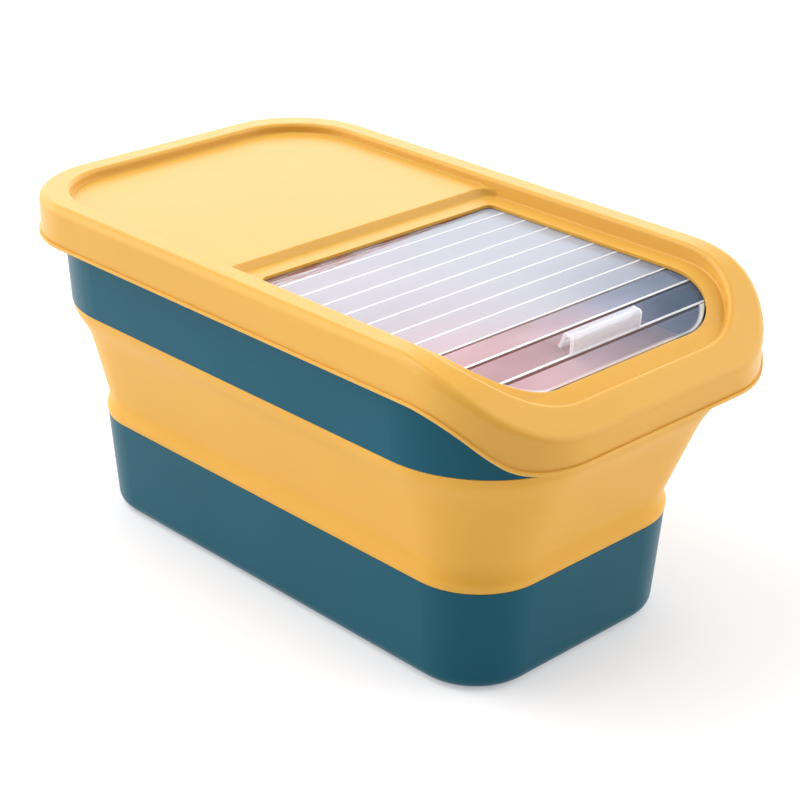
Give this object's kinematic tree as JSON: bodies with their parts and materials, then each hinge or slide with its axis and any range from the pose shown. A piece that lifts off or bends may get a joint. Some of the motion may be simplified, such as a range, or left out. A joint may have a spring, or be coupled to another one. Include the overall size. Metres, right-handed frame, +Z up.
{
  "type": "collapsible food storage container",
  "caption": "Oblong dry food bin with rigid base, soft fold-in band, upper rim frame and long cap lid with a sliding slatted door that curves down in front.",
  "frame": {"origin": "centre of the overall box's base, on the floor", "axes": "+X along the length towards the lid's lowered front, where the door starts; +Y to the left seen from behind; +Z up"},
  "size_m": [0.4152, 0.2416, 0.2075],
  "materials": {
    "teal_shell": "satin polypropylene, fine even grain",
    "yellow_band": "smooth satin thermoplastic rubber",
    "yellow_lid": "satin polypropylene",
    "clear_slat": "smoky clear, glossy",
    "milky_grip": "milky translucent, glossy",
    "white_rail": "natural acetal, matte",
    "grey_seal": "soft silicone, matte"
  },
  "bodies": {
    "base": {"base_tub": "teal_shell", "fold_band": "yellow_band"},
    "rim": {"rim_frame": "teal_shell"},
    "lid": {"lid_cover": "yellow_lid", "lid_seal": "grey_seal", "track_rail_left": "white_rail", "track_rail_right": "white_rail"},
    "door": {"slat_01": "clear_slat", "slat_02": "clear_slat", "slat_03": "clear_slat", "slat_04": "clear_slat", "slat_05": "clear_slat", "slat_06": "clear_slat", "slat_07": "clear_slat", "slat_08": "clear_slat", "slat_09": "clear_slat"},
    "link_10": {"slat_10": "clear_slat"},
    "link_11": {"slat_11": "clear_slat", "door_handle": "milky_grip"},
    "link_12": {"slat_12": "clear_slat"}
  },
  "joints": [
    {"name": "collapse", "type": "slide", "parent": "base", "child": "rim", "axis": [0, 0, -1], "range_m": [0, 0.0916], "deforming": ["fold_band"]},
    {"name": "lid_lift", "type": "slide", "parent": "rim", "child": "lid", "axis": [0, 0, 1], "range_m": [0, 0.15]},
    {"name": "door_slide", "type": "slide", "parent": "lid", "child": "door", "axis": [-1, 0, 0], "range_m": [0, 0.152]},
    {"name": "hinge_10", "type": "hinge", "parent": "door", "child": "link_10", "pos_m": [0.1305, 0, 0.1939], "axis": [0, -1, 0], "range_deg": [0, 6.3]},
    {"name": "hinge_11", "type": "hinge", "parent": "link_10", "child": "link_11", "pos_m": [0.1478, 0, 0.19201], "axis": [0, -1, 0], "range_deg": [0, 12.55]},
    {"name": "hinge_12", "type": "hinge", "parent": "link_11", "child": "link_12", "pos_m": [0.16427, 0, 0.18641], "axis": [0, -1, 0], "range_deg": [0, 10.61]}
  ],
  "couplings": [
    {"joint": "hinge_10", "follows": "door_slide", "rad_per_m": 0.71778},
    {"joint": "hinge_11", "follows": "door_slide", "rad_per_m": 1.4356},
    {"joint": "hinge_12", "follows": "door_slide", "rad_per_m": 1.2123}
  ]
}
